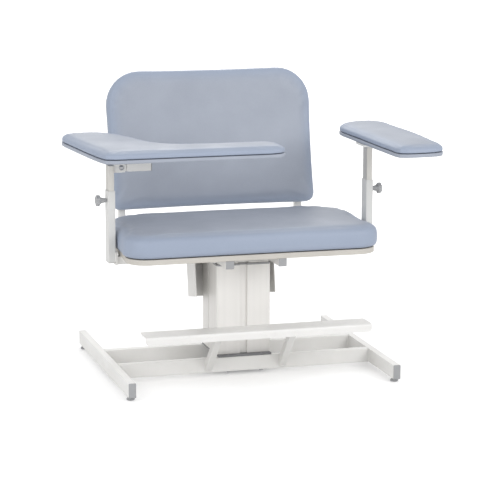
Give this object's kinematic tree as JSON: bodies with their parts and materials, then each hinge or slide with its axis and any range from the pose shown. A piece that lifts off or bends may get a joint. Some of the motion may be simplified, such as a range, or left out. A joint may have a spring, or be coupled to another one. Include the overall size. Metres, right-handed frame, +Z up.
{
  "type": "phlebotomy chair",
  "caption": "Wide upholstered blood-draw chair on an electric lifting column, with footrest, one straight arm and one flip-up L-shaped arm.",
  "frame": {"origin": "on the floor, under the middle of the chair's whole width and depth", "axes": "+Z up, -Y the way the sitter faces, +X to the right-hand side of someone who faces the chair, where the straight arm is"},
  "size_m": [1.2396, 0.8758, 1.0331],
  "materials": {
    "pale_paint": "satin powder coat",
    "column_metal": "satin powder-coated extrusion",
    "black_plastic": "matt moulded",
    "grey_plastic": "matt moulded",
    "pale_plastic": "matt moulded",
    "black_steel": "matt black paint",
    "bright_steel": "zinc plated",
    "laminate": "laminated panel with a satin edge",
    "vinyl": "lightly grained upholstery vinyl"
  },
  "bodies": {
    "base": {"left_runner": "pale_paint", "right_runner": "pale_paint", "front_cross_tube": "pale_paint", "rear_cross_tube": "pale_paint", "left_front_runner_cap": "black_plastic", "left_rear_runner_cap": "black_plastic", "right_front_runner_cap": "black_plastic", "right_rear_runner_cap": "black_plastic", "left_front_glide": "black_plastic", "left_rear_glide": "black_plastic", "right_front_glide": "black_plastic", "right_rear_glide": "black_plastic", "footrest_tread": "pale_paint", "left_footrest_strut": "pale_paint", "right_footrest_strut": "pale_paint", "column_foot_plate": "black_steel", "left_front_foot_bolt": "bright_steel", "left_rear_foot_bolt": "bright_steel", "right_front_foot_bolt": "bright_steel", "right_rear_foot_bolt": "bright_steel", "column_outer_stage": "column_metal", "column_collar": "grey_plastic", "lift_actuator": "black_plastic"},
    "seat_carriage": {"column_inner_stage": "column_metal", "actuator_rod": "bright_steel", "lift_top_plate": "pale_paint", "left_seat_tube": "pale_paint", "right_seat_tube": "pale_paint", "left_seat_tube_cap": "black_plastic", "right_seat_tube_cap": "black_plastic", "rear_seat_rail": "pale_paint", "left_arm_outrigger": "pale_paint", "right_arm_outrigger": "pale_paint", "left_column_guard": "pale_paint", "right_column_guard": "pale_paint", "rear_column_guard": "pale_paint", "seat_board": "laminate", "seat_cushion": "vinyl", "back_board": "laminate", "back_cushion": "vinyl", "left_back_upright": "pale_paint", "right_back_upright": "pale_paint", "left_arm_sleeve": "pale_paint", "right_arm_sleeve": "pale_paint", "left_sleeve_cap": "pale_plastic", "right_sleeve_cap": "pale_plastic"},
    "right_arm": {"right_arm_post": "bright_steel", "right_pad_plate": "pale_paint", "right_pad_board": "vinyl", "right_arm_pad": "vinyl"},
    "left_arm": {"left_arm_post": "bright_steel", "hinge_bracket": "pale_paint", "hinge_bolt": "bright_steel"},
    "flip_arm": {"flip_arm_bar": "pale_paint", "flip_bar_cap": "black_plastic", "flip_pad_plate": "pale_paint", "flip_pad_board": "vinyl", "flip_arm_pad": "vinyl"},
    "left_knob": {"left_clamp_knob": "grey_plastic"},
    "right_knob": {"right_clamp_knob": "grey_plastic"}
  },
  "joints": [
    {"name": "seat_lift", "type": "slide", "parent": "base", "child": "seat_carriage", "axis": [0, 0, 1], "range_m": [0, 0.2032]},
    {"name": "right_arm_height", "type": "slide", "parent": "seat_carriage", "child": "right_arm", "axis": [0, 0, 1], "range_m": [-0.055, 0.05]},
    {"name": "left_arm_height", "type": "slide", "parent": "seat_carriage", "child": "left_arm", "axis": [0, 0, 1], "range_m": [-0.055, 0.05]},
    {"name": "flip_arm_hinge", "type": "hinge", "parent": "left_arm", "child": "flip_arm", "pos_m": [-0.45732, -0.05757, 0.748], "axis": [0, -1, 0], "range_deg": [0, 60]},
    {"name": "left_knob_turn", "type": "hinge", "parent": "seat_carriage", "child": "left_knob", "pos_m": [-0.51872, -0.05757, 0.635], "axis": [-1, 0, 0], "range_deg": [0, 270]},
    {"name": "right_knob_turn", "type": "hinge", "parent": "seat_carriage", "child": "right_knob", "pos_m": [0.46768, -0.05757, 0.635], "axis": [1, 0, 0], "range_deg": [0, 270]}
  ]
}
